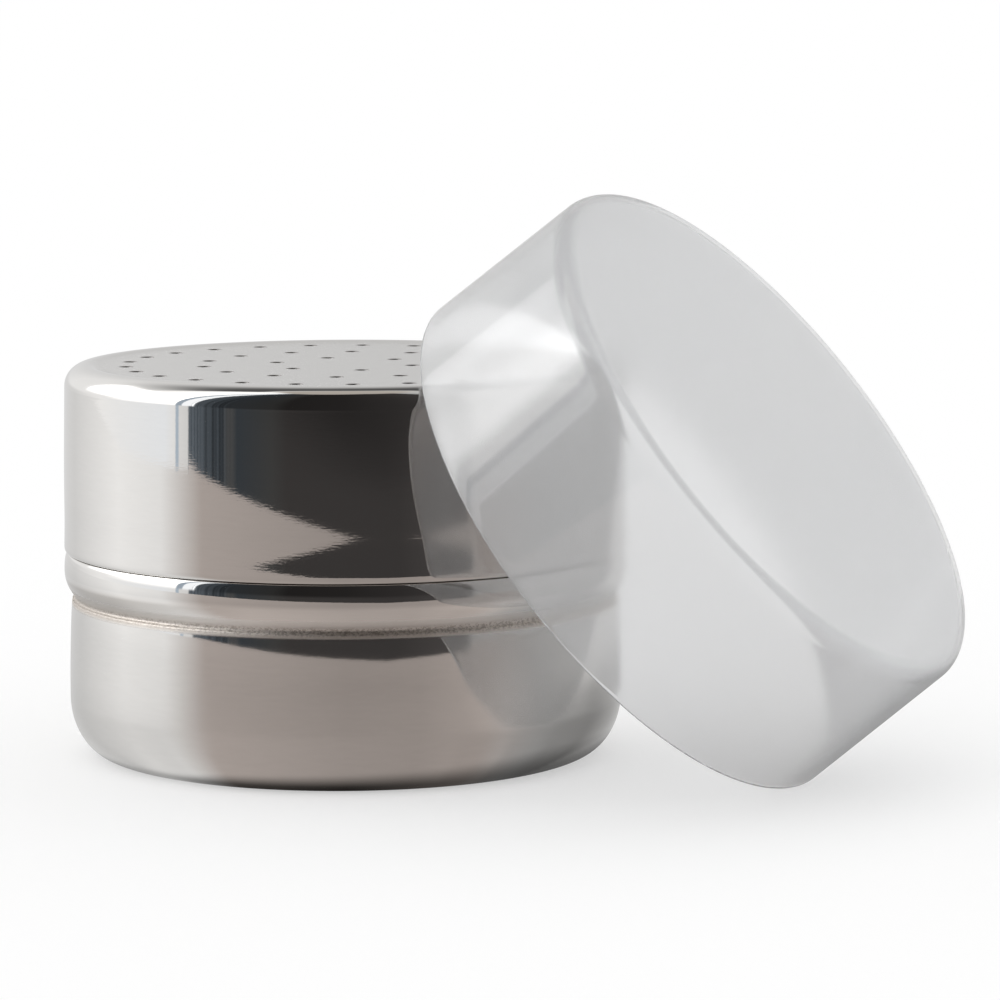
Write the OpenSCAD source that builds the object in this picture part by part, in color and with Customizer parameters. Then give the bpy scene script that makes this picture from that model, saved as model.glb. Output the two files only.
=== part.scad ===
/* [Shaker] */
// Outside diameter of the lid's skirt
lid_d = 75; // [62:0.5:100]
// Height from the floor to the lid's rounded top edge
shaker_h = 52.4; // [42:0.1:80]
// Thickness of the steel sheet that the cup and the lid are drawn from
sheet_t = 0.5; // [0.4:0.05:0.8]

/* [Cup] */
// Height of the widest line of the bead that stops the lid
bead_z = 25.9; // [20:0.1:34]
// How far the bead stands out past the lid's skirt
bead_proud = 0.1; // [0:0.05:0.3]
// Radius of the bead's rounded upper side
bead_top_r = 1.6; // [1.4:0.1:2]
// Radius of the bead's sloping lower side
bead_low_r = 5.3; // [4.5:0.1:6.5]
// Depth of the groove under the bead, from the line of the lid's skirt
root_inset = 1.4; // [1.2:0.05:2]
// How far the belly lies inside the line of the lid's skirt
belly_inset = 0.5; // [0.2:0.05:1]
// Height at which the belly starts to draw in towards the groove
belly_z = 10.5; // [9.5:0.1:14]
// Width of the rounded bottom corner
corner_w = 5.8; // [4:0.1:9]
// Height of the rounded bottom corner
corner_h = 8; // [5:0.1:9.4]
// Free height between the neck's rim and the underside of the lid's flat top
head_gap = 10.2; // [2:0.1:10.5]
// Radial clearance of the slip-on lid round the neck
neck_clearance = 0.1; // [0.05:0.01:0.15]

/* [Lid] */
// Radius of the lid's rounded top edge
lid_edge_r = 2.9; // [1.5:0.1:4]
// Radius on the outside of the lid's lower edge
lid_hem_r = 0.4; // [0.1:0.05:0.4]
// How far the flat top lies below the rounded edge
dish_depth = 0.3; // [0.1:0.05:0.6]
// Width of the slope between the rounded edge and the flat top
dish_w = 2; // [1:0.1:2.5]
// Gap between the lid's lower edge and the bead
seat_gap = 0.35; // [0.2:0.05:0.5]
// Diameter of the shaking holes
hole_d = 1.7; // [1:0.1:2.5]
// Distance of each ring of holes from the lid's skirt
ring_inset = [8.4, 18.6, 28.1]; // [8:0.1:28.5]
// Number of holes in each ring
ring_count = [25, 14, 6]; // [4:1:30]
// Turn of the first hole of each ring
ring_phase = [12.9, 9.7, 43.9]; // [0:0.1:90]

/* [Cover] */
// Inside depth of the cover
cover_depth = 24.3; // [16:0.1:32]
// Wall thickness of the cover
cover_wall = 0.9; // [0.6:0.05:1.5]
// Clearance round the lid at the closed end of the cover, when it is on
cover_clearance = 0.06; // [0.05:0.01:0.3]
// Extra radius at the open rim, from the moulding draft
cover_draft = 0.6; // [0.2:0.05:1.2]
// Outside radius of the corner between the disc and the wall
cover_corner_r = 2.5; // [1.6:0.1:4]
// Angle that the cover leans over from upright
cover_lean = 51.75; // [48:0.25:56]
// Direction in which the cover lies beside the cup
cover_turn = -26.6; // [-90:0.1:90]
// Radial gap between the inside of the cover's rim and the lid's edge that it leans on
lean_gap = 0.45; // [0.3:0.05:0.8]

/* [Hidden] */
$fn = 96;
arc_steps = 8;
curve_steps = 6;
// How far a cutting shape runs past the face that it opens
cut_past = 1;

lid_r = lid_d / 2;
lid_in_r = lid_r - sheet_t;
neck_r = lid_in_r - neck_clearance;

// Cup
belly_r = lid_r - belly_inset;
root_r = lid_r - root_inset;
bead_r = lid_r + bead_proud;
bead_top_c = bead_r - bead_top_r;
bead_low_c = bead_r - bead_low_r;
root_angle = acos((root_r - bead_low_c) / bead_low_r);
root_z = bead_z - bead_low_r * sin(root_angle);

// Lid
lid_low_z = bead_z + bead_rise(lid_in_r) + seat_gap;
edge_c = lid_r - lid_edge_r;
edge_z = shaker_h - lid_edge_r;
flat_r = edge_c - dish_w;
flat_z = shaker_h - dish_depth;
rim_z = flat_z - sheet_t - head_gap;

// Cover, on its own axis with the rim at zero
cover_in_r = lid_r + cover_clearance;
cover_disc_r = cover_in_r + cover_wall;
cover_rim_r = cover_disc_r + cover_draft;
cover_h = cover_depth + cover_wall;

// Leaning cover: its rim's lowest point is on the floor, and it clears every circle of the lid's edge
rim_rise = 90 - cover_lean;
rim_centre_z = cover_rim_r * cos(rim_rise);
rim_reach = max([for (p = lid_edge(0)) max(reach_past_rim(p), reach_under_disc(p))]);

// Height over the bead's middle at which its rounded upper side has the radius r
function bead_rise(r) = sqrt(pow(bead_top_r, 2) - pow(r - bead_top_c, 2));

// Points on the arc of an ellipse with centre c and half axes r, counted from the first one wanted
function arc(c, r, from, to, first = 0) = [
    for (i = [first:arc_steps])
        let (a = from + (to - from) * i / arc_steps)
            [c[0] + r[0] * cos(a), c[1] + r[1] * sin(a)]
];

// Radius of the belly at height z: a parabola from the widest line to the groove
function belly_at(z) = belly_r - (belly_r - root_r) * pow(max(0, z - belly_z) / (root_z - belly_z), 2);

// Angle at which the bead's upper side meets the neck
function neck_angle(inset) = acos((neck_r - inset - bead_top_c) / (bead_top_r - inset));

// Outline of the cup from its axis up to its rim, drawn in by the inset
function cup_side(inset) = concat(
    [[0, inset]],
    arc([belly_r - corner_w, corner_h], [corner_w - inset, corner_h - inset], -90, 0),
    [for (i = [0:curve_steps])
        let (z = belly_z + (root_z - belly_z) * i / curve_steps)
            [belly_at(z) - inset, z]],
    arc([bead_low_c, bead_z], (bead_low_r - inset) * [1, 1], -root_angle, 0, first = 1),
    arc([bead_top_c, bead_z], (bead_top_r - inset) * [1, 1], 0, neck_angle(inset), first = 1),
    [[neck_r - inset, rim_z]]
);

// Rounded top edge of the lid, from its crest out to the skirt, drawn in by the inset
function lid_edge(inset) = arc([edge_c, edge_z], (lid_edge_r - inset) * [1, 1], 90, 0);

// Outline of the lid from its axis out to its skirt, drawn in by the inset
function lid_side(inset) = concat([[0, flat_z - inset], [flat_r, flat_z - inset]], lid_edge(inset));

// Rounded corner of the upright cover, from its wall to its disc, drawn in by the inset
function cover_corner(inset) =
    arc([cover_disc_r, cover_h] - cover_corner_r * [1, 1], (cover_corner_r - inset) * [1, 1], 0, 90);

// How far out the leaning rim's centre lies when the rim clears the lid's circle through p
function reach_past_rim(p) = let (
    up = p[1] - rim_centre_z,
    inner_r = cover_rim_r - cover_wall - lean_gap
) up * tan(rim_rise) + sqrt(max(0, pow(p[0], 2) + pow(up / cos(rim_rise), 2) - pow(inner_r, 2)));

// How far out the leaning rim's centre lies when the cover's disc clears the lid's circle through p
function reach_under_disc(p) =
    p[0] - (cover_depth - lean_gap - (p[1] - rim_centre_z) * sin(rim_rise)) / cos(rim_rise);

module cup() {
    color("silver")
        rotate_extrude()
            difference() {
                polygon(concat(cup_side(0), [[0, rim_z]]));
                polygon(concat(cup_side(sheet_t), [[neck_r - sheet_t, rim_z + cut_past], [0, rim_z + cut_past]]));
            }
}

module shaking_holes() {
    for (ring = [0:len(ring_count) - 1])
        for (i = [0:ring_count[ring] - 1])
            rotate(ring_phase[ring] + 360 * i / ring_count[ring])
                translate([lid_r - ring_inset[ring], 0, flat_z - sheet_t - cut_past])
                    cylinder(d = hole_d, h = sheet_t + 2 * cut_past);
}

module perforated_lid() {
    color("silver")
        difference() {
            rotate_extrude()
                difference() {
                    polygon(concat(lid_side(0), [
                        [lid_r, lid_low_z + lid_hem_r],
                        [lid_r - lid_hem_r, lid_low_z],
                        [0, lid_low_z]
                    ]));
                    polygon(concat(lid_side(sheet_t), [[lid_in_r, lid_low_z - cut_past], [0, lid_low_z - cut_past]]));
                }
            shaking_holes();
        }
}

module cover_upright() {
    rotate_extrude()
        difference() {
            polygon(concat([[0, 0], [cover_rim_r, 0]], cover_corner(0), [[0, cover_h]]));
            polygon(concat(
                [[0, -cut_past], [cover_rim_r - cover_wall, -cut_past], [cover_rim_r - cover_wall, 0]],
                cover_corner(cover_wall),
                [[0, cover_depth]]
            ));
        }
}

module cover() {
    color("gainsboro", 0.5)
        rotate(cover_turn)
            translate([rim_reach, 0, rim_centre_z])
                rotate([0, cover_lean, 0])
                    cover_upright();
}

cup();
perforated_lid();
cover();
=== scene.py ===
import math

import bmesh
import bpy
import numpy as np
from mathutils import Matrix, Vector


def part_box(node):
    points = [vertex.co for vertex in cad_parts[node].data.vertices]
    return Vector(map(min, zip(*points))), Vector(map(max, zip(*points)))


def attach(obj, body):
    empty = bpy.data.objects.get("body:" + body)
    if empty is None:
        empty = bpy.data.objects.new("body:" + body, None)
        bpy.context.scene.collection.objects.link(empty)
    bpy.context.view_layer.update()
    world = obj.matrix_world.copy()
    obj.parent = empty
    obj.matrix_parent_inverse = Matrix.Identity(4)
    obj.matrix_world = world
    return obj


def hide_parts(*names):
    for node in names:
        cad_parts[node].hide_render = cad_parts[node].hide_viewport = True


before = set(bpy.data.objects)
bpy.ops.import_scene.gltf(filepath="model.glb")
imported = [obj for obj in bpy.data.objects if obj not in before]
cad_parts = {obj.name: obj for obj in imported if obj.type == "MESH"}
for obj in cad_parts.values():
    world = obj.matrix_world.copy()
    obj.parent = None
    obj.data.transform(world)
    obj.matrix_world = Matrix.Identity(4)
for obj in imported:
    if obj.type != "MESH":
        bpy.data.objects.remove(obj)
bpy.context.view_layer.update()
mm = 0.001
# steps round every turned surface, one a degree
slices = 360
print("stage: frame loaded")


# arc of an ellipse: centre + half axes times (cos, sin), angles in degrees, both ends included
def arcPoints(centre, halfAxes, fromAngle, toAngle, count):
    angle = np.radians(np.linspace(fromAngle, toAngle, count))
    return np.array(centre) + np.array(halfAxes) * np.stack([np.cos(angle), np.sin(angle)], axis=1)


# wall given by its tilt: going up, the radius is the running sum of minus tan(tilt), so a tilt of
# 1 degree means a wall that faces 1 degree upwards; the tilt is averaged with its neighbours, to bend softly
def wallPoints(tiltStops, startRadius, step):
    heights, tilts = np.array(tiltStops, float).T
    z = np.linspace(heights[0], heights[-1], max(2, int(round((heights[-1] - heights[0]) / step)) + 1))
    tilt = np.interp(z, heights, tilts)
    tilt[1:-1] = (tilt[:-2] + 2 * tilt[1:-1] + tilt[2:]) / 4
    slope = np.tan(np.radians(tilt))
    fall = np.concatenate([[0], np.cumsum((slope[1:] + slope[:-1]) / 2 * np.diff(z))])
    return np.stack([startRadius - fall, z], axis=1)


# outline moved to its left by a thickness: each point goes along the normal of its neighbours' chord
def offsetOutline(outline, thickness):
    along = np.gradient(outline, axis=0)
    along[0] = outline[1] - outline[0]
    along[-1] = outline[-1] - outline[-2]
    normal = np.stack([-along[:, 1], along[:, 0]], axis=1) / np.linalg.norm(along, axis=1, keepdims=True)
    return outline + normal * thickness


# outline without points closer together than the least step
def thinned(outline, least=1e-4):
    keep = np.concatenate([[True], np.linalg.norm(np.diff(outline, axis=0), axis=1) > least])
    return outline[keep]


# outline with every third point and both ends kept, for the inner side of a wall
def everyThird(outline):
    return np.vstack([outline[:-1:3], outline[-1:]])


# turned surface: outline point (r, z) at angle a is (r cos a, r sin a, z); ends on the axis close as fans
def turnOutline(outline):
    startPole, endPole = outline[0, 0] == 0, outline[-1, 0] == 0
    rings = outline[int(startPole):len(outline) - int(endPole)]
    angle = np.linspace(0, 2 * np.pi, slices, endpoint=False)
    points = np.stack([
        np.outer(rings[:, 0], np.cos(angle)),
        np.outer(rings[:, 0], np.sin(angle)),
        np.repeat(rings[:, 1:], slices, axis=1),
    ], axis=2).reshape(-1, 3)
    index = np.arange(len(rings) * slices).reshape(len(rings), slices)
    after = np.roll(index, -1, axis=1)
    faces = [np.stack([index[:-1], after[:-1], after[1:], index[1:]], axis=2).reshape(-1, 4)]
    if startPole:
        faces.append(np.stack([np.full(slices, len(points)), after[0], index[0]], axis=1))
        points = np.vstack([points, [0, 0, outline[0, 1]]])
    if endPole:
        faces.append(np.stack([np.full(slices, len(points)), index[-1], after[-1]], axis=1))
        points = np.vstack([points, [0, 0, outline[-1, 1]]])
    return points, faces


# several surfaces as one list of points and faces
def joinSurfaces(surfaces):
    counts = np.cumsum([0] + [len(points) for points, _ in surfaces])
    faces = [part + start for (_, parts), start in zip(surfaces, counts) for part in parts]
    return np.vstack([points for points, _ in surfaces]), faces


# six times the volume inside the faces, summed over fans of triangles: below zero they are inside out
def signedVolume(points, faces):
    total = 0.0
    for part in faces:
        corners = points[part]
        for k in range(1, part.shape[1] - 1):
            total += np.einsum("ij,ij->", corners[:, 0], np.cross(corners[:, k], corners[:, k + 1]))
    return total


def meshObject(name, points, faces, weld=0.0):
    mesh = bpy.data.meshes.new(name)
    corners = np.concatenate([part.ravel() for part in faces])
    sizes = np.concatenate([np.full(len(part), part.shape[1]) for part in faces])
    mesh.vertices.add(len(points))
    mesh.vertices.foreach_set("co", (points * mm).astype(np.float32).ravel())
    mesh.loops.add(len(corners))
    mesh.loops.foreach_set("vertex_index", corners.astype(np.int32))
    mesh.polygons.add(len(sizes))
    mesh.polygons.foreach_set("loop_start", np.concatenate([[0], np.cumsum(sizes)[:-1]]).astype(np.int32))
    mesh.update(calc_edges=True)
    if weld:
        solid = bmesh.new()
        solid.from_mesh(mesh)
        bmesh.ops.remove_doubles(solid, verts=solid.verts, dist=weld * mm)
        solid.to_mesh(mesh)
        solid.free()
    mesh.polygons.foreach_set("use_smooth", np.ones(len(mesh.polygons), bool))
    mesh.update()
    made = bpy.data.objects.new(name, mesh)
    bpy.context.scene.collection.objects.link(made)
    return made


def triangleCount(faces):
    return sum(len(part) * (part.shape[1] - 2) for part in faces)


def solidPiece(name, points, faces, body, node, slotName, material, weld=0.0):
    if signedVolume(points, faces) < 0:
        faces = [part[:, ::-1] for part in faces]
    piece = meshObject(name, points, faces, weld)
    piece.data.materials.append(material)
    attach(piece, body)
    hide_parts(node)
    print(f"stage: {name} has {triangleCount(faces)} triangles")
    return piece


def newMaterial(name):
    material = bpy.data.materials.new(name)
    material.use_nodes = True
    material.node_tree.nodes.clear()
    return material, material.node_tree


# a node with its settings and socket values; a socket value that is a socket is linked
def addNode(tree, kind, sockets=None, **settings):
    made = tree.nodes.new(kind)
    for key, value in settings.items():
        setattr(made, key, value)
    for key, value in (sockets or {}).items():
        if isinstance(value, bpy.types.NodeSocket):
            tree.links.new(value, made.inputs[key])
        else:
            made.inputs[key].default_value = value
    return made


def addRamp(tree, factor, stops):
    ramp = addNode(tree, "ShaderNodeValToRGB", {"Fac": factor})
    while len(ramp.color_ramp.elements) < len(stops):
        ramp.color_ramp.elements.new(0.5)
    for element, (position, colour) in zip(ramp.color_ramp.elements, stops):
        element.position = position
        element.color = (*colour, 1)
    return ramp.outputs["Color"]


def addMath(tree, operation, first, second):
    return addNode(tree, "ShaderNodeMath", {0: first, 1: second}, operation=operation).outputs[0]


def objectPoint(tree, scale=(1, 1, 1)):
    spot = addNode(tree, "ShaderNodeTexCoord").outputs["Object"]
    return addNode(tree, "ShaderNodeMapping", {"Vector": spot, "Scale": scale}).outputs["Vector"]


def addNoise(tree, vector, scale, detail=2.0, roughness=0.5):
    sockets = {"Vector": vector, "Scale": scale, "Detail": detail, "Roughness": roughness}
    return addNode(tree, "ShaderNodeTexNoise", sockets).outputs["Fac"]


# height above the floor in millimetres, from the object coordinates
def heightSocket(tree):
    split = addNode(tree, "ShaderNodeSeparateXYZ", {"Vector": objectPoint(tree)})
    return addMath(tree, "MULTIPLY", split.outputs["Z"], 1 / mm)


# distance from the axis in millimetres
def axisSocket(tree):
    spot = addNode(tree, "ShaderNodeTexCoord").outputs["Object"]
    flat = addNode(tree, "ShaderNodeVectorMath", {0: spot, 1: (1 / mm, 1 / mm, 0)}, operation="MULTIPLY")
    return addNode(tree, "ShaderNodeVectorMath", {0: flat.outputs[0]}, operation="LENGTH").outputs["Value"]


# a colour that follows stops (place in mm, colour) along a socket
def byColours(tree, socket, stops):
    places = [place for place, _ in stops]
    low, high = min(places), max(places)
    share = addNode(tree, "ShaderNodeMapRange", {
        "Value": socket, "From Min": low, "From Max": high,
    }).outputs["Result"]
    return addRamp(tree, share, [((place - low) / (high - low), colour) for place, colour in stops])


# the same for plain values
def byStops(tree, socket, stops):
    return byColours(tree, socket, [(place, (value,) * 3) for place, value in stops])


def mixColours(tree, share, first, second):
    mixed = addNode(tree, "ShaderNodeMix", data_type="RGBA")
    for index, value in ((0, share), (6, first), (7, second)):
        if isinstance(value, bpy.types.NodeSocket):
            tree.links.new(value, mixed.inputs[index])
        else:
            mixed.inputs[index].default_value = value
    return mixed.outputs[2]


def scaleColour(tree, colour, factor):
    scaled = addNode(tree, "ShaderNodeVectorMath", {"Vector": colour, "Scale": factor}, operation="SCALE")
    return scaled.outputs[0]


steelLook = {
    "tint": (0.76, 0.745, 0.725),
    "streakSize": 700.0,      # noise cells per metre round the part
    "streakFlatness": 6.0,    # how many times finer they are up the wall
    "grainSize": 3000.0,
    "toneSize": 320.0, "toneSpread": 0.06,
    "speckSize": 2600.0, "speckFrom": 0.46, "speckFull": 0.58,
    "roughLeast": 0.8, "roughSpread": 0.4,   # the roughness is multiplied by this and more, by the fine lines
    "drawnTint": (0.86, 0.81, 0.755), "speckTint": (0.5, 0.45, 0.41),
    # painted light: the bead's underside gets a lighter steel colour than the rest, which brightens its
    # reflection
    "underLightTint": (0.945, 0.925, 0.9),      # the bead's underside
    # painted shade on the left side of the groove and the bead's underside: its tint, how much of it, and
    # where across the part it starts and is full
    "leftShadeTint": (0.3, 0.27, 0.24), "leftShadeShare": 0.6,
    "leftShadeFrom": -12.0, "leftShadeFull": -30.0,  # across the part, in mm
    # the holes' punched edges: a rougher finish, and painted shade in this dark tint
    "holeShadeTint": (0.3, 0.285, 0.275), "edgeRough": 0.5,
}


# drawn steel: a metal whose roughness follows a place socket, with fine lines that run round the wall;
# where the edge mask is 1 it is the dull, rougher steel of a punched edge, painted dark as painted shade in
# the holes;
# where stops across the part are given, the steel is painted darker towards the left as painted shade
def steelMaterial(name, along, roughStops, streakHeight, grainStops, tintStops,
                  speckStops=None, leftShadeStops=None, dullEdgeAndShadeMask=None):
    material, tree = newMaterial(name)
    place = along(tree)
    wall = objectPoint(tree, (1, 1, steelLook["streakFlatness"]))
    streaks = addNoise(tree, wall, steelLook["streakSize"], 2.0, 0.55)
    grain = addNoise(tree, objectPoint(tree), steelLook["grainSize"], 2.0, 0.6)
    streakBump = addNode(tree, "ShaderNodeBump", {
        "Strength": 1.0, "Distance": streakHeight * mm, "Height": streaks,
    }).outputs["Normal"]
    grainHeight = addMath(tree, "MULTIPLY", grain, byStops(tree, place, grainStops))
    grainBump = addNode(tree, "ShaderNodeBump", {
        "Strength": 1.0, "Distance": mm, "Height": grainHeight, "Normal": streakBump,
    }).outputs["Normal"]
    unevenness = addMath(tree, "MULTIPLY", streaks, steelLook["roughSpread"])
    unevenness = addMath(tree, "ADD", steelLook["roughLeast"], unevenness)
    rough = addMath(tree, "MULTIPLY", byStops(tree, place, roughStops), unevenness)
    tone = addNoise(tree, wall, steelLook["toneSize"], 4.0, 0.6)
    tone = addMath(tree, "MULTIPLY", tone, steelLook["toneSpread"])
    tone = addMath(tree, "ADD", 1 - steelLook["toneSpread"] / 2, tone)
    colour = scaleColour(tree, byColours(tree, place, tintStops), tone)
    if speckStops:
        speck = addNoise(tree, objectPoint(tree, (1, 1, 1.5)), steelLook["speckSize"], 2.0, 0.6)
        speck = addNode(tree, "ShaderNodeMapRange", {
            "Value": speck, "From Min": steelLook["speckFrom"], "From Max": steelLook["speckFull"],
        }).outputs["Result"]
        share = addMath(tree, "MULTIPLY", speck, byStops(tree, place, speckStops))
        colour = mixColours(tree, share, colour, (*steelLook["speckTint"], 1))
    # painted shade: the groove and the bead's underside grow darker towards the left of the part
    if leftShadeStops:
        across = addNode(tree, "ShaderNodeSeparateXYZ", {"Vector": objectPoint(tree)}).outputs["X"]
        side = addNode(tree, "ShaderNodeMapRange", {
            "Value": across, "From Min": steelLook["leftShadeFrom"] * mm, "From Max": steelLook["leftShadeFull"] * mm,
            "To Min": 0.0, "To Max": steelLook["leftShadeShare"],
        }).outputs["Result"]
        share = addMath(tree, "MULTIPLY", side, byStops(tree, place, leftShadeStops))
        colour = mixColours(tree, share, colour, (*steelLook["leftShadeTint"], 1))
    # painted shade: the holes' lips and walls are tinted dark, and made rougher
    if dullEdgeAndShadeMask:
        mask = dullEdgeAndShadeMask(tree)
        rough = addMath(tree, "MAXIMUM", rough, addMath(tree, "MULTIPLY", mask, steelLook["edgeRough"]))
        colour = mixColours(tree, mask, colour, (*steelLook["holeShadeTint"], 1))
    surface = addNode(tree, "ShaderNodeBsdfPrincipled", {
        "Base Color": colour, "Metallic": 1.0, "Roughness": rough, "Normal": grainBump,
    })
    output = addNode(tree, "ShaderNodeOutputMaterial")
    tree.links.new(surface.outputs["BSDF"], output.inputs["Surface"])
    return material


# 1 on the lips and walls of the holes: below the plate's top face, above its lower face, inside the dish;
#                                       there the steel is rougher and painted dark, as painted shade of the
#                                       holes
def holeMask(tree):
    look = lidLook
    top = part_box("perforated_lid")[1].z / mm - look["dishDepth"]
    low = top - look["sheet"]
    deep = byStops(tree, heightSocket(tree), [
        (low, 0), (low + look["maskRise"], 1), (top - look["maskFull"], 1), (top - look["maskDrop"], 0),
    ])
    near = byStops(tree, axisSocket(tree), [
        (0, 1), (look["maskRadius"], 1), (look["maskRadius"] + look["maskBlend"], 0), (look["maskEnd"], 0),
    ])
    return addMath(tree, "MULTIPLY", deep, near)


cupLook = {
    "sheet": 0.5,
    "cornerWidth": 5.8, "cornerHeight": 8.0,
    "bellyRadius": 37.0,
    # the belly's wall: height and tilt in degrees, up to the groove under the bead
    "bellyTilt": [(8.0, 0.0), (8.5, 0.0), (10.5, 0.4), (12.5, 1.2), (14.5, 1.65), (16.5, 1.8), (17.4, 1.95),
                  (17.9, 2.3), (18.5, 2.75), (19.5, 3.3), (20.2, 4.0), (20.6, 5.0), (20.8, 7.0),
                  (21.0, 11.0)],
    # the groove's radius, how far inside it and above the belly its curve is pulled, and the bead's start
    "grooveRadius": 36.15, "groovePull": 0.12, "groovePullRise": 0.25, "grooveEnd": 0.25,
    "beadRadius": 37.6, "beadHeight": 24.95,
    "beadLowRadius": 4.8,
    "beadTilt": [(24.95, 0.0), (25.8, 3.5), (26.3, 7.0), (26.8, 13.0), (27.05, 19.0), (27.25, 28.0)],
    "neckRadius": 36.9, "neckStart": 0.4, "beadTopRadius": 0.4,
}

lidLook = {
    "sheet": 0.5,
    "edgeRadius": 2.9, "dishWidth": 2.0, "dishDepth": 0.3,
    # the skirt's wall, height and tilt in degrees: lip, flare over the hem, waist, shoulder, top edge
    "skirtTilt": [(28.1, 0.75), (29.4, 1.6), (33.3, -0.4), (41.5, 1.0), (49.5, 1.0)],
    "flare": 0.08, "hemRadius": 0.35, "hemBevel": 0.05,
    "holeRadius": 0.85, "cellSteps": 13,
    # rings of holes: distance from the axis, number, turn of the first one, and where its zone ends inside
    "rings": [(29.1, 25, 12.9, 24.0), (18.9, 14, 9.7, 14.2), (9.4, 6, 43.9, 3.4)],
    # heights and radii between which the holes' dull edges and their painted shade show
    "maskRise": 0.03, "maskFull": 0.012, "maskDrop": 0.002,
    "maskRadius": 31.4, "maskBlend": 0.2, "maskEnd": 38.0,
}


def cupOutline():
    look = cupLook
    bottom = np.array([[0, 0], [12, 0], [22, 0], [28, 0], [30.4, 0]])
    cornerCentre = (look["bellyRadius"] - look["cornerWidth"], look["cornerHeight"])
    corner = arcPoints(cornerCentre, (look["cornerWidth"], look["cornerHeight"]), -90, 0, 30)
    belly = wallPoints(look["bellyTilt"], look["bellyRadius"], 0.2)
    lowCentre = look["beadRadius"] - look["beadLowRadius"]
    grooveEnd = look["grooveRadius"] + look["grooveEnd"]
    lowAngle = -math.degrees(math.acos((grooveEnd - lowCentre) / look["beadLowRadius"]))
    low = arcPoints((lowCentre, look["beadHeight"]), (look["beadLowRadius"],) * 2, lowAngle, 0, 26)
    # the groove is a curve from the belly's end to the bead that leaves each along its own direction
    start, end = belly[-1], low[0]
    share = np.linspace(0, 1, 14)[1:-1, None]
    pull = np.array([look["grooveRadius"] - look["groovePull"], start[1] + look["groovePullRise"]])
    groove = (1 - share) ** 2 * start + 2 * share * (1 - share) * pull + share ** 2 * end
    crest = wallPoints(look["beadTilt"], look["beadRadius"], 0.1)
    tilt = look["beadTilt"][-1][1]
    outwards = np.array([math.cos(math.radians(tilt)), math.sin(math.radians(tilt))])
    topCentre = crest[-1] - look["beadTopRadius"] * outwards
    neckAngle = math.degrees(math.acos((look["neckRadius"] - topCentre[0]) / look["beadTopRadius"]))
    top = arcPoints(topCentre, (look["beadTopRadius"],) * 2, tilt, neckAngle, 12)
    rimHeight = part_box("cup")[1].z / mm
    half = look["sheet"] / 2
    neckHeights = np.linspace(top[-1, 1] + look["neckStart"], rimHeight - half, 8)
    neck = np.stack([np.full(8, look["neckRadius"]), neckHeights], axis=1)
    outside = thinned(np.vstack([bottom, corner, belly, groove, low, crest, top, neck]))
    inside = everyThird(offsetOutline(outside, look["sheet"])[::-1])
    rim = arcPoints((look["neckRadius"] - half, rimHeight - half), (half, half), 0, 180, 9)
    inside[-1, 0] = 0
    return thinned(np.vstack([outside, rim, inside[1:]]))


def lidSkirt():
    look = lidLook
    low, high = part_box("perforated_lid")
    top = high.z / mm
    outerRadius = high.x / mm
    wall = wallPoints(look["skirtTilt"], 0.0, 0.3)
    wall[:, 0] += outerRadius + look["flare"] - wall[:, 0].max()
    edgeRadius, lastTilt = look["edgeRadius"], look["skirtTilt"][-1][1]
    edgeCentre = (wall[-1, 0] - edgeRadius * math.cos(math.radians(lastTilt)), top - edgeRadius)
    edge = arcPoints(edgeCentre, (edgeRadius, edgeRadius), lastTilt, 90, 32)
    flatRadius = edgeCentre[0] - look["dishWidth"]
    # the dish is half a cosine wave from the crest down to the flat plate
    share = np.linspace(0, 1, 14)
    dish = np.stack([edgeCentre[0] - look["dishWidth"] * share,
                     top - look["dishDepth"] * (1 - np.cos(np.pi * share)) / 2], axis=1)
    outside = thinned(np.vstack([wall, edge, dish]))
    inside = everyThird(offsetOutline(outside, look["sheet"])[::-1])
    inside[0] = [flatRadius, top - look["dishDepth"] - look["sheet"]]
    hemLow, hemRadius, bevel = low.z / mm, look["hemRadius"], look["hemBevel"]
    # the hem turns in below the skirt as a quarter of an ellipse
    turn = wall[0, 1] - hemLow
    hem = arcPoints((wall[0, 0] - hemRadius, wall[0, 1]), (hemRadius, turn), 0, -90, 9)[::-1]
    innerHem = np.array([[inside[-1, 0], hemLow + bevel], [inside[-1, 0] + bevel, hemLow]])
    loop = thinned(np.vstack([inside, innerHem, hem, outside]))
    return loop, flatRadius, top - look["dishDepth"]


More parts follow.
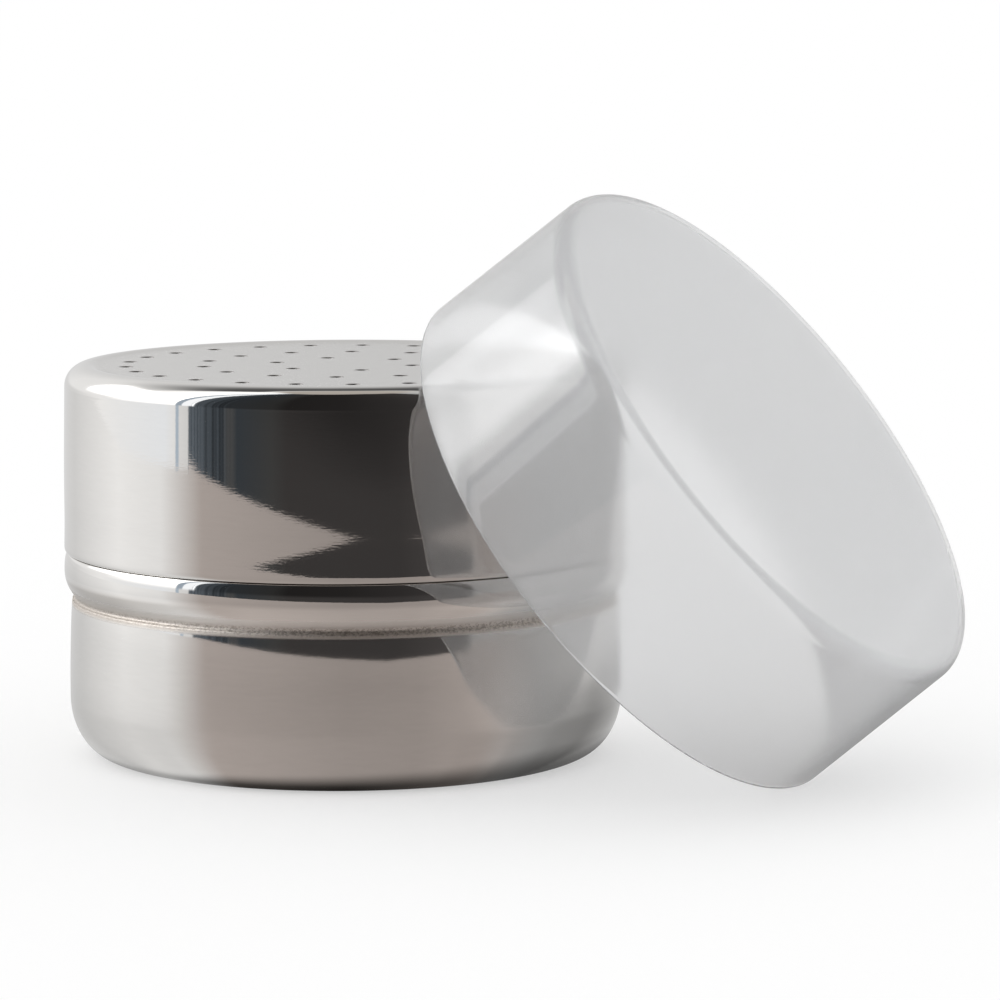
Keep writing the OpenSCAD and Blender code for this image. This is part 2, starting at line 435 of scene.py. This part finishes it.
# plate round one hole: rings run from the cell's border in to the hole, down its wall and out again below;
# the cell is a sector between whole degrees, and each border point looks at the hole's centre
def holeCell(centre, fromDegree, toDegree, innerRadius, outerRadius, plateTop):
    look = lidLook
    degrees = np.radians(np.arange(fromDegree, toDegree + 1))
    side = np.linspace(innerRadius, outerRadius, look["cellSteps"])
    polar = np.vstack([
        np.stack([side, np.full(len(side), degrees[0])], axis=1)[:-1],
        np.stack([np.full(len(degrees), outerRadius), degrees], axis=1)[:-1],
        np.stack([side[::-1], np.full(len(side), degrees[-1])], axis=1)[:-1],
        np.stack([np.full(len(degrees), innerRadius), degrees[::-1]], axis=1)[:-1],
    ])
    border = polar[:, :1] * np.stack([np.cos(polar[:, 1]), np.sin(polar[:, 1])], axis=1)
    outwards = border - centre
    outwards /= np.linalg.norm(outwards, axis=1, keepdims=True)
    bottom = look["sheet"]
    # distance from the hole's edge and depth under the plate's top, round the lip and down the hole
    lip = [(0.6, 0.0), (0.13, 0.0), (0.09, 0.02), (0.05, 0.05), (0.015, 0.1), (0.0, 0.17),
           (0.0, bottom - 0.05), (0.03, bottom), (0.5, bottom)]
    rows = [np.column_stack([border, np.full(len(border), plateTop)])]
    for offset, drop in lip:
        ring = centre + outwards * (look["holeRadius"] + offset)
        rows.append(np.column_stack([ring, np.full(len(border), plateTop - drop)]))
    rows.append(np.column_stack([border, np.full(len(border), plateTop - bottom)]))
    points = np.array(rows)
    index = np.arange(points.shape[0] * points.shape[1]).reshape(points.shape[:2])
    after = np.roll(index, -1, axis=1)
    faces = np.stack([index[:-1], after[:-1], after[1:], index[1:]], axis=2).reshape(-1, 4)
    return points.reshape(-1, 3), [faces]


def lidSurface():
    look = lidLook
    loop, flatRadius, plateTop = lidSkirt()
    skirt, skirtFaces = turnOutline(loop)
    surfaces = [(skirt, skirtFaces)]
    outer = flatRadius
    for ringRadius, count, phase, inner in look["rings"]:
        holes = phase + 360 / count * np.arange(count)
        borders = np.round(holes - 180 / count).astype(int)
        borders = np.append(borders, borders[0] + 360)
        for k in range(count):
            angle = math.radians(holes[k])
            centre = ringRadius * np.array([math.cos(angle), math.sin(angle)])
            surfaces.append(holeCell(centre, borders[k], borders[k + 1], inner, outer, plateTop))
        outer = inner
    # the middle of the plate, top and bottom, closes in fans
    for height, flip in ((plateTop, False), (plateTop - look["sheet"], True)):
        disc = np.array([[outer, height], [outer / 2, height], [0, height]])
        points, faces = turnOutline(disc)
        surfaces.append((points, [part[:, ::-1] if flip else part for part in faces]))
    return joinSurfaces(surfaces)


# stops of place in mm: roughness, then the fine lines' height in mm, and stops of grain height and colour
cupSteel = steelMaterial(
    "cupSteel", heightSocket,
    [(0, 0.2), (14, 0.12), (17, 0.05), (20.3, 0.04), (20.6, 0.55), (22.5, 0.55), (22.9, 0.12), (24.6, 0.05),
     (25.2, 0.03), (42, 0.05)],
    0.0004,
    [(0, 0.0008), (16, 0.0004), (20.4, 0.0003), (20.75, 0.02), (22.4, 0.02), (22.8, 0.0004), (42, 0.0003)],
    # colours by height; the bead's underside is painted lighter
    [(0, steelLook["tint"]), (20.3, steelLook["tint"]), (20.6, steelLook["drawnTint"]),
     (21.3, steelLook["drawnTint"]), (21.7, steelLook["underLightTint"]), (24.2, steelLook["underLightTint"]),
     (24.7, steelLook["tint"]), (42, steelLook["tint"])],
    [(0, 0), (20.6, 0), (20.9, 0.75), (21.5, 0.75), (21.9, 0), (42, 0)],
    # painted shade on the left of the groove and the bead's underside
    leftShadeStops=[(0, 0), (20.2, 0), (20.8, 1), (23.8, 1), (24.6, 0), (42, 0)],
)
lidSteel = steelMaterial(
    "lidSteel", axisSocket,
    [(0, 0.22), (32.6, 0.22), (33.6, 0.1), (34.4, 0.04), (37.0, 0.03), (38, 0.03)],
    0.0009,
    [(0, 0.001), (33, 0.001), (34.5, 0.0005), (38, 0.0005)],
    [(0, steelLook["tint"]), (38, steelLook["tint"])],
    # the holes' lips and walls: rougher, and painted dark as their shade
    dullEdgeAndShadeMask=holeMask,
)

solidPiece("cupShell", *turnOutline(cupOutline()), "cup", "cup", "cup_steel", cupSteel)
solidPiece("perforatedLid", *lidSurface(), "lid", "perforated_lid", "lid_steel", lidSteel, weld=0.001)


coverLook = {
    "wall": 0.9, "depth": 24.3, "draft": 0.6, "cornerRadius": 2.5, "rimRound": 0.3,
    "discRadius": 38.45,
    "lean": 51.75, "turn": -26.6,
    "rimCentre": (37.24, -18.65, 30.67),
}


# the upright cover has its rim at zero: up the outside, over the disc to the axis, and back inside
def coverOutline():
    look = coverLook
    wall, corner, rim = look["wall"], look["cornerRadius"], look["rimRound"]
    high = look["depth"] + wall
    disc = look["discRadius"]
    rimRadius = disc + look["draft"]
    cornerOut = arcPoints((disc - corner, high - corner), (corner, corner), 0, 90, 16)
    cornerIn = arcPoints((disc - corner, high - corner), (corner - wall, corner - wall), 0, 90, 12)[::-1]
    rows = np.linspace(0, 1, 14)[:, None]
    outFoot = np.array([rimRadius, rim])
    inFoot = np.array([rimRadius - wall, rim])
    outside = outFoot + (cornerOut[0] - outFoot) * rows
    inside = cornerIn[-1] + (inFoot - cornerIn[-1]) * rows
    face = np.stack([np.linspace(disc - corner, 0, 12), np.full(12, high)], axis=1)
    ceiling = np.stack([np.linspace(0, disc - corner, 12), np.full(12, high - wall)], axis=1)
    rimOut = arcPoints((rimRadius - rim, rim), (rim, rim), -90, 0, 7)
    rimIn = arcPoints((rimRadius - wall + rim, rim), (rim, rim), 180, 270, 7)
    return thinned(np.vstack([ceiling, cornerIn, inside, rimIn, rimOut, outside, cornerOut, face]))


plasticLook = {
    "tint": (0.875, 0.879, 0.886), "clearness": 0.745,
    "bodyIor": 1.1, "glossIor": 1.5, "glossRough": 0.04,
    "hazeSize": 60.0, "hazeFrom": 0.3, "hazeFull": 0.7, "rough": (0.18, 0.25),
    "waveSize": 55.0, "waveHeight": 0.02,
}


def coverSurface():
    look = coverLook
    points, faces = turnOutline(coverOutline())
    lean, turn = math.radians(look["lean"]), math.radians(look["turn"])
    leanMatrix = np.array([
        [math.cos(lean), 0, math.sin(lean)], [0, 1, 0], [-math.sin(lean), 0, math.cos(lean)],
    ])
    turnMatrix = np.array([
        [math.cos(turn), -math.sin(turn), 0], [math.sin(turn), math.cos(turn), 0], [0, 0, 1],
    ])
    return points @ (turnMatrix @ leanMatrix).T + np.array(look["rimCentre"]), faces


# clear moulded plastic gone slightly milky: the gloss is a coat over a body that hardly bends the light
def plasticMaterial():
    look = plasticLook
    material, tree = newMaterial("clearPlastic")
    haze = addNoise(tree, objectPoint(tree), look["hazeSize"], 3.0, 0.6)
    rough = addNode(tree, "ShaderNodeMapRange", {
        "Value": haze, "From Min": look["hazeFrom"], "From Max": look["hazeFull"],
        "To Min": look["rough"][0], "To Max": look["rough"][1],
    }).outputs["Result"]
    wave = addNoise(tree, objectPoint(tree), look["waveSize"], 1.0, 0.4)
    bump = addNode(tree, "ShaderNodeBump", {
        "Strength": 1.0, "Distance": look["waveHeight"] * mm, "Height": wave,
    }).outputs["Normal"]
    surface = addNode(tree, "ShaderNodeBsdfPrincipled", {
        "Base Color": (*look["tint"], 1), "Roughness": rough, "IOR": look["bodyIor"],
        "Transmission Weight": look["clearness"], "Normal": bump,
        "Coat Weight": 1.0, "Coat IOR": look["glossIor"], "Coat Roughness": look["glossRough"],
        "Coat Normal": bump,
    })
    output = addNode(tree, "ShaderNodeOutputMaterial")
    tree.links.new(surface.outputs["BSDF"], output.inputs["Surface"])
    return material


solidPiece("clearCover", *coverSurface(), "cover", "cover", "clear_plastic", plasticMaterial())


# tints of the light in the room
plain, cool, glass = (1.0, 1.0, 1.0), (0.97, 1.0, 1.04), (0.85, 1.0, 1.17)
warm, wood = (1.08, 1.0, 0.99), (1.12, 1.0, 0.94)

studioLook = {
    # the table's front edge: its nearest point, how fast one over the distance in metres falls a degree to
    # the left and right of it, and the farthest it gets
    "edgeAzimuth": 15.0, "edgeDistance": 250.0, "edgeFallLeft": 0.028, "edgeFallRight": 0.023,
    "edgeFarthest": 1000.0,
    "roomLeft": -63.4, "roomRight": 50.0,
    "sideDistance": 520.0, "backDistance": 900.0,
    "floorLift": 0.5,
    # azimuth from the front, positive to the right, with the brightness and tint there near the horizon
    "around": [
        (-180, 0.7, plain), (-140, 0.8, plain), (-115, 1.05, plain), (-75, 1.0, cool), (-70, 0.95, plain),
        # the window's frame, and the pale strip beside it
        (-69.5, 0.57, glass), (-68.5, 0.57, glass), (-68, 0.85, plain), (-64, 0.8, plain),
        # the dark room with a paler streak in it
        (-63.4, 0.14, glass), (-52, 0.06, glass), (-48, 0.055, glass), (-46, 0.08, cool), (-44, 0.075, cool),
        (-42, 0.05, glass), (-28, 0.055, plain), (-22, 0.045, warm), (20, 0.045, warm), (48, 0.075, warm),
        # the plain wall on the right
        (50, 0.4, plain), (60, 0.55, plain), (95, 0.75, plain), (110, 0.9, plain), (150, 0.9, plain),
        (165, 0.7, plain), (180, 0.7, plain),
    ],
    # the same higher up, and the band of elevations over which it changes
    "higher": [
        (-180, 0.65, plain), (-150, 0.95, plain), (-112, 1.05, plain), (-97, 1.4, plain), (-70, 1.45, plain),
        (-69.5, 0.47, glass), (-67, 0.47, glass), (-66.5, 1.25, cool), (-61.5, 1.25, cool),
        (-60.6, 0.1, glass), (-50, 0.035, glass), (-28, 0.03, plain), (-22, 0.017, warm), (0, 0.02, warm),
        (20, 0.03, warm), (48, 0.055, warm),
        (50, 0.4, plain), (60, 0.5, plain), (95, 0.7, plain), (110, 0.9, plain), (150, 0.9, plain),
        (165, 0.65, plain), (180, 0.65, plain),
    ],
    "higherFrom": 3.0, "higherFull": 8.0,
    # a soft box over the window: its strength by azimuth, and the elevations where it comes up and ends
    "softBox": [(-135, 0.0), (-131, 0.1), (-129, 1.1), (-118, 2.1), (-106, 2.3), (-95, 3.3), (-83, 4.0),
                (-79, 3.3), (-75, 1.4), (-70.4, 0.9), (-69.8, 0.0)],
    "boxFrom": 8.0, "boxFull": 20.0, "boxEnd": 36.0, "boxGone": 46.0,
    # a dark beam high up behind: the elevations where it comes up and ends, its shade, and its azimuths
    "beam": (34.0, 68.0, 73.0, 78.0, 0.1), "behindFrom": 95.0, "behindFull": 110.0,
    # the ceiling: plain, and where it points more to the left than this share, bright
    "ceiling": (0.52, 0.48, 0.44), "ceilingFrom": 75.0, "ceilingFull": 79.0,
    "brightCeiling": 1.6, "brightFrom": 0.43, "brightFull": 0.5,
    # where glints of the window glass and the trees behind it are: azimuths, and how much the colour changes
    "glints": (-63.0, -43.0, 0.55), "glintWaves": (2.9, 7.3), "glintFade": (1.0, 6.0),
    # steps round the dome, and finer ones where the window's frame is
    "domeSteps": 481, "fineFrom": -72.0, "fineTo": -58.0, "fineStep": 0.2, "backFrom": 100.0,
    # the table as the steel sees it, by the direction in which the wall of the part looks at it: pale beside
    # the window, brown in front of the room, pale again on the right
    "table": [
        (-180, 0.75, plain), (-145, 0.75, plain), (-105, 1.05, plain), (-80, 0.95, plain), (-60, 0.43, wood),
        (0, 0.32, wood), (30, 0.33, wood), (60, 0.42, wood), (90, 0.65, plain), (120, 0.8, plain),
        (180, 0.75, plain),
    ],
    "wallRadius": 37.5,
    # the table's shade near the part, and the distances between which it ends
    "nearShade": [(-180, 0.9), (-60, 0.93), (0, 1.0), (50, 1.0), (70, 1.2), (100, 0.7), (125, 0.45),
                  (180, 0.85)],
    "nearFrom": [(60, 110.0), (100, 88.0)],
    "nearFull": [(60, 320.0), (100, 145.0)],
    # what the walls that face down see close to the part: darker beside the window and on the right
    "underGlow": [(-180, 0.0), (-115, -0.14), (-85, -0.13), (-60, 0.06), (0, 0.07), (45, -0.05), (75, -0.45),
                  (125, -0.15), (180, 0.0)],
    "underFull": 55.0, "underEnd": 98.0,
    # the dark line where the part touches the table: its width in mm and its shade, by direction
    "contactRadius": 33.0,
    "contactWidth": [(-90, 1.8), (-60, 2.9), (0, 4.0), (45, 5.0), (100, 8.0)],
    "contactShade": [(-130, 0.6), (-60, 0.1), (0, 0.05), (100, 0.3)],
    "floorRings": [20.0, 30.0, *np.arange(32.0, 42.0, 0.5), 42.0, 45.0, 50.0, 60.0, 75.0, 95.0, 120.0, 150.0,
                   190.0, 240.0, 300.0, 380.0, 480.0, 600.0, 800.0, 1200.0, 3000.0, 30000.0],
}


# colour along stops of place, brightness and tint
def interpColour(at, stops):
    places = np.array([place for place, _, _ in stops], float)
    colours = np.array([brightness * np.array(tint) for _, brightness, tint in stops])
    return np.stack([np.interp(at, places, colours[:, k]) for k in range(3)], axis=-1)


# distance of the table's front edge: one over it falls evenly on both sides of the nearest point
def tableEdge(azimuth):
    look = studioLook
    turn = azimuth - look["edgeAzimuth"]
    fall = np.where(turn < 0, -turn * look["edgeFallLeft"], turn * look["edgeFallRight"])
    nearness = 1 / (look["edgeDistance"] * mm) - fall
    return 1 / np.maximum(nearness, 1 / (look["edgeFarthest"] * mm)) / mm


# share that rises smoothly from 0 to 1 between two values
def rise(value, start, full):
    share = np.clip((value - start) / (full - start), 0, 1)
    return share * share * (3 - 2 * share)


# colour of the dome at azimuth a and elevation e
def domeColours(a, e):
    look = studioLook
    high = rise(e, look["higherFrom"], look["higherFull"])[..., None]
    colours = interpColour(a, look["around"]) * (1 - high) + interpColour(a, look["higher"]) * high
    first, last, change = look["glints"]
    slow, fast = look["glintWaves"]
    fadeIn, fadeOut = look["glintFade"]
    inGlint = rise(a, first, first + fadeIn) * rise(-a, -last, fadeOut - last)
    glint = change * np.sin(slow * a) * np.sin(fast * a + 1) * inGlint
    colours = colours * (1 + glint[..., None])
    strength = np.interp(a, *np.array(look["softBox"]).T)
    inBox = rise(e, look["boxFrom"], look["boxFull"]) * rise(-e, -look["boxGone"], -look["boxEnd"])
    colours = colours + (strength * inBox)[..., None]
    beamFrom, beamFull, beamEnd, beamGone, shade = look["beam"]
    behind = rise(np.abs(a), look["behindFrom"], look["behindFull"])
    inBeam = (behind * rise(e, beamFrom, beamFull) * rise(-e, -beamGone, -beamEnd))[..., None]
    colours = colours * (1 - inBeam) + shade * inBeam
    leftness = -np.sin(np.radians(a)) * np.cos(np.radians(e))
    bright = rise(leftness, look["brightFrom"], look["brightFull"])[..., None]
    ceiling = np.array(look["ceiling"]) * (1 - bright) + look["brightCeiling"] * bright
    share = rise(e, look["ceilingFrom"], look["ceilingFull"])[..., None]
    return colours * (1 - share) + ceiling * share


# what the steel sees round it: a dome of points d (cos e sin a, -cos e cos a, sin e), where the distance d
# changes with the azimuth a
def studioDome():
    look = studioLook
    fine = np.arange(look["fineFrom"], look["fineTo"], look["fineStep"])
    azimuth = np.unique(np.concatenate([np.linspace(-180, 180, look["domeSteps"]), fine]))
    elevation = np.concatenate([[-1.0, 0.0], np.linspace(1, 90, 90)])
    a, e = np.meshgrid(azimuth, elevation)
    front = tableEdge(a)
    inFront = (a > look["roomLeft"]) & (a < look["roomRight"])
    side = np.interp(np.abs(a), [look["backFrom"], 180], [look["sideDistance"], look["backDistance"]])
    distance = np.where(inFront, front, side) * mm
    flat = distance * np.cos(np.radians(e))
    points = np.stack([flat * np.sin(np.radians(a)), -flat * np.cos(np.radians(a)),
                       distance * np.sin(np.radians(e))], axis=2)
    colours = domeColours(a, e)
    rows, columns = a.shape
    index = np.arange(rows * columns).reshape(rows, columns)
    faces = np.stack([index[:-1, :-1], index[1:, :-1], index[1:, 1:], index[:-1, 1:]], axis=2).reshape(-1, 4)
    dome = meshObject("studioDome", points.reshape(-1, 3) / mm, [faces])
    paintPoints(dome, "glow", colours)
    material, tree = newMaterial("domeGlow")
    path = addNode(tree, "ShaderNodeLightPath")
    seenInSteel = addMath(tree, "GREATER_THAN", path.outputs["Glossy Depth"], 0.5)
    painted = addNode(tree, "ShaderNodeAttribute", attribute_name="glow").outputs["Color"]
    glow = mixColours(tree, seenInSteel, (1, 1, 1, 1), painted)
    light = addNode(tree, "ShaderNodeEmission", {"Color": glow, "Strength": 1.0})
    output = addNode(tree, "ShaderNodeOutputMaterial")
    tree.links.new(light.outputs[0], output.inputs["Surface"])
    material.cycles.emission_sampling = "NONE"
    dome.data.materials.append(material)
    dome.visible_camera = False
    dome.visible_diffuse = False
    dome.visible_shadow = False
    return dome


# a wall of radius R that looks in direction b sees the table along a line that passes the axis at
# R sin(b / 2); so a table point at azimuth a and distance r is seen in the direction
# b = a + asin(R sin(b / 2) / r), which is worked out by repeating it
def wallDirection(azimuth, distance):
    seen = np.radians(azimuth)
    for _ in range(12):
        reach = np.clip(studioLook["wallRadius"] * np.sin(seen / 2) / distance, -1, 1)
        seen = np.clip(np.radians(azimuth) + np.arcsin(reach), -np.pi, np.pi)
    return np.degrees(seen)


def floorColours(azimuth, distance):
    look = studioLook
    seen = wallDirection(azimuth, distance)
    colours = interpColour(seen, look["table"])
    nearShade, nearFrom, nearFull, underGlow, contactWidth, contactShade = (
        np.interp(seen, *np.array(look[key]).T)
        for key in ("nearShade", "nearFrom", "nearFull", "underGlow", "contactWidth", "contactShade"))
    near = nearShade + (1 - nearShade) * rise(distance, nearFrom, nearFull)
    near = near + underGlow * (1 - rise(distance, look["underFull"], look["underEnd"]))
    contact = contactShade + (1 - contactShade) * rise(
        distance, look["contactRadius"], look["contactRadius"] + contactWidth)
    return colours * (near * contact)[..., None]


# colours at a mesh's points, for its material to read
def paintPoints(piece, name, colours):
    painted = piece.data.color_attributes.new(name, "FLOAT_COLOR", "POINT")
    opaque = np.concatenate([colours, np.ones((*colours.shape[:-1], 1))], axis=-1)
    painted.data.foreach_set("color", opaque.astype(np.float32).ravel())


# pale floor; only what the steel mirrors is the painted table
def studioFloor():
    look = studioLook
    rings = np.array(look["floorRings"])
    azimuth, distance = np.meshgrid(np.linspace(-180, 180, slices, endpoint=False), rings)
    around = np.radians(azimuth)
    points = np.stack([distance * np.sin(around), -distance * np.cos(around), np.zeros(around.shape)], axis=2)
    index = np.arange(around.size).reshape(around.shape)
    after = np.roll(index, -1, axis=1)
    faces = [np.stack([index[:-1], index[1:], after[1:], after[:-1]], axis=2).reshape(-1, 4)]
    faces.append(np.stack([np.full(slices, around.size), index[0], after[0]], axis=1))
    floor = meshObject("studioFloor", np.vstack([points.reshape(-1, 3), [0, 0, 0]]), faces)
    colours = floorColours(azimuth, distance).reshape(-1, 3)
    paintPoints(floor, "glow", np.vstack([colours, colours[:1]]))
    material, tree = newMaterial("paleFloor")
    path = addNode(tree, "ShaderNodeLightPath")
    seenInSteel = addMath(tree, "GREATER_THAN", path.outputs["Glossy Depth"], 0.5)
    painted = addNode(tree, "ShaderNodeAttribute", attribute_name="glow").outputs["Color"]
    tableGlow = addNode(tree, "ShaderNodeEmission", {"Color": painted, "Strength": 1.0})
    direct = addMath(tree, "SUBTRACT", 1.0, path.outputs["Is Diffuse Ray"])
    lift = addMath(tree, "MULTIPLY", look["floorLift"], direct)
    pale = 1 - look["floorLift"]
    paint = addNode(tree, "ShaderNodeBsdfDiffuse", {"Color": (pale, pale, pale, 1)})
    light = addNode(tree, "ShaderNodeEmission", {"Strength": lift})
    seenPlain = addNode(tree, "ShaderNodeAddShader", {0: paint.outputs[0], 1: light.outputs[0]})
    both = addNode(tree, "ShaderNodeMixShader", {
        0: seenInSteel, 1: seenPlain.outputs[0], 2: tableGlow.outputs[0],
    })
    output = addNode(tree, "ShaderNodeOutputMaterial")
    tree.links.new(both.outputs[0], output.inputs["Surface"])
    material.cycles.emission_sampling = "NONE"
    floor.data.materials.append(material)
    return floor


studioDome()
studioFloor()

world = bpy.data.worlds.new("studioWorld")
world.use_nodes = True
world.node_tree.nodes["Background"].inputs["Color"].default_value = (1, 1, 1, 1)
world.node_tree.nodes["Background"].inputs["Strength"].default_value = 1.0
bpy.context.scene.world = world

cameraLook = {
    "place": (0.0, -608.9, 107.0), "yaw": 1.952, "pitch": 6.865, "roll": -0.089,
    "lens": 164.56, "sensor": 36.0,
}


def makeCamera():
    look = cameraLook
    yaw, pitch, roll = (math.radians(look[key]) for key in ("yaw", "pitch", "roll"))
    forward = np.array([math.sin(yaw) * math.cos(pitch), math.cos(yaw) * math.cos(pitch), -math.sin(pitch)])
    level = np.array([math.cos(yaw), -math.sin(yaw), 0])
    upright = np.cross(level, forward)
    right = math.cos(roll) * level + math.sin(roll) * upright
    up = math.cos(roll) * upright - math.sin(roll) * level
    data = bpy.data.cameras.new("mainCamera")
    data.lens = look["lens"]
    data.sensor_width = look["sensor"]
    camera = bpy.data.objects.new("mainCamera", data)
    bpy.context.scene.collection.objects.link(camera)
    matrix = Matrix.Identity(4)
    for column, axis in enumerate((right, up, -forward)):
        for row in range(3):
            matrix[row][column] = axis[row]
    for row in range(3):
        matrix[row][3] = look["place"][row] * mm
    camera.matrix_world = matrix
    bpy.context.scene.camera = camera


makeCamera()
bpy.context.scene.view_settings.view_transform = "Standard"
